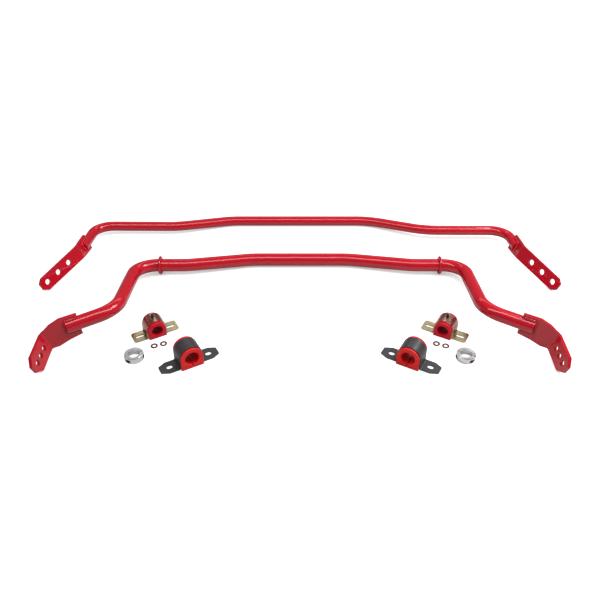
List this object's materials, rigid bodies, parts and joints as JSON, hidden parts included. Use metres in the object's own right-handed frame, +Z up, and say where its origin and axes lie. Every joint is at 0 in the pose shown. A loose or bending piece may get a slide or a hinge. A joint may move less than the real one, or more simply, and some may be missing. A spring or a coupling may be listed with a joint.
{
  "type": "sway bar kit",
  "caption": "Tubular front and rear sway bars with folded end plates, with D bushings, U brackets, washers and split shaft collars, laid out on a bench.",
  "frame": {"origin": "middle of the kit's footprint, at the bench's surface", "axes": "+X across the car to the viewer's right, +Y away from the viewer toward the bars' middles, +Z up"},
  "size_m": [1.27, 0.6212, 0.0812],
  "materials": {
    "red_powder_coat": "gloss red powder coat",
    "red_polyurethane": "satin cast polyurethane",
    "yellow_zinc": "yellow iridescent zinc plate",
    "black_coat": "black textured coating",
    "washer_bronze": "bronze tinted zinc plate",
    "turned_aluminium": "turned",
    "black_oxide": "black oxide",
    "fitting_steel": "dark plated steel"
  },
  "bodies": {
    "layout": {"rear_bushing_left": "red_polyurethane", "rear_bushing_right": "red_polyurethane", "collar_left_base": "turned_aluminium", "collar_right_base": "turned_aluminium"},
    "front_bar": {"front_tube": "red_powder_coat", "front_end_plate_left": "red_powder_coat", "front_end_plate_right": "red_powder_coat", "front_weld_left": "red_powder_coat", "front_weld_right": "red_powder_coat", "front_end_cap_left": "red_powder_coat", "front_end_cap_right": "red_powder_coat", "locating_ring_left": "red_powder_coat", "locating_ring_right": "red_powder_coat"},
    "rear_bar": {"rear_tube": "red_powder_coat", "rear_end_plate_left": "red_powder_coat", "rear_end_plate_right": "red_powder_coat", "rear_weld_left": "red_powder_coat", "rear_weld_right": "red_powder_coat", "rear_end_cap_left": "red_powder_coat", "rear_end_cap_right": "red_powder_coat"},
    "front_bushing_left": {"front_bushing_left": "red_polyurethane"},
    "front_bracket_left": {"front_bracket_left": "black_coat"},
    "rear_bracket_left": {"rear_bracket_left": "yellow_zinc", "grease_fitting_left": "fitting_steel"},
    "washer_left_outer": {"washer_left_outer": "washer_bronze"},
    "washer_left_inner": {"washer_left_inner": "washer_bronze"},
    "collar_left_cap": {"collar_left_cap": "turned_aluminium"},
    "collar_left_screws": {"collar_left_screws": "black_oxide"},
    "front_bushing_right": {"front_bushing_right": "red_polyurethane"},
    "front_bracket_right": {"front_bracket_right": "black_coat"},
    "rear_bracket_right": {"rear_bracket_right": "yellow_zinc", "grease_fitting_right": "fitting_steel"},
    "washer_right_outer": {"washer_right_outer": "washer_bronze"},
    "washer_right_inner": {"washer_right_inner": "washer_bronze"},
    "collar_right_cap": {"collar_right_cap": "turned_aluminium"},
    "collar_right_screws": {"collar_right_screws": "black_oxide"}
  },
  "joints": [
    {"name": "front_bar_roll", "type": "hinge", "parent": "layout", "child": "front_bar", "pos_m": [0, 0.1029, 0.01702], "axis": [-1, 0, 0], "range_deg": [0, 40]},
    {"name": "rear_bar_roll", "type": "hinge", "parent": "layout", "child": "rear_bar", "pos_m": [0, 0.2979, 0.0127], "axis": [-1, 0, 0], "range_deg": [0, 40]},
    {"name": "front_bushing_left_lift", "type": "slide", "parent": "layout", "child": "front_bushing_left", "axis": [0, 0, 1], "range_m": [0, 0.06]},
    {"name": "front_bracket_left_lift", "type": "slide", "parent": "front_bushing_left", "child": "front_bracket_left", "axis": [0, 0, 1], "range_m": [0, 0.06]},
    {"name": "rear_bracket_left_lift", "type": "slide", "parent": "layout", "child": "rear_bracket_left", "axis": [0, 0, 1], "range_m": [0, 0.06]},
    {"name": "washer_left_outer_lift", "type": "slide", "parent": "layout", "child": "washer_left_outer", "axis": [0, 0, 1], "range_m": [0, 0.025]},
    {"name": "washer_left_inner_lift", "type": "slide", "parent": "layout", "child": "washer_left_inner", "axis": [0, 0, 1], "range_m": [0, 0.025]},
    {"name": "collar_left_open", "type": "slide", "parent": "layout", "child": "collar_left_cap", "axis": [0.4848, -0.8746, 0], "range_m": [0, 0.014]},
    {"name": "collar_left_screws_out", "type": "slide", "parent": "collar_left_cap", "child": "collar_left_screws", "axis": [0.4848, -0.8746, 0], "range_m": [0, 0.012]},
    {"name": "front_bushing_right_lift", "type": "slide", "parent": "layout", "child": "front_bushing_right", "axis": [0, 0, 1], "range_m": [0, 0.06]},
    {"name": "front_bracket_right_lift", "type": "slide", "parent": "front_bushing_right", "child": "front_bracket_right", "axis": [0, 0, 1], "range_m": [0, 0.06]},
    {"name": "rear_bracket_right_lift", "type": "slide", "parent": "layout", "child": "rear_bracket_right", "axis": [0, 0, 1], "range_m": [0, 0.06]},
    {"name": "washer_right_outer_lift", "type": "slide", "parent": "layout", "child": "washer_right_outer", "axis": [0, 0, 1], "range_m": [0, 0.025]},
    {"name": "washer_right_inner_lift", "type": "slide", "parent": "layout", "child": "washer_right_inner", "axis": [0, 0, 1], "range_m": [0, 0.025]},
    {"name": "collar_right_open", "type": "slide", "parent": "layout", "child": "collar_right_cap", "axis": [-0.4848, -0.8746, 0], "range_m": [0, 0.014]},
    {"name": "collar_right_screws_out", "type": "slide", "parent": "collar_right_cap", "child": "collar_right_screws", "axis": [-0.4848, -0.8746, 0], "range_m": [0, 0.012]}
  ]
}
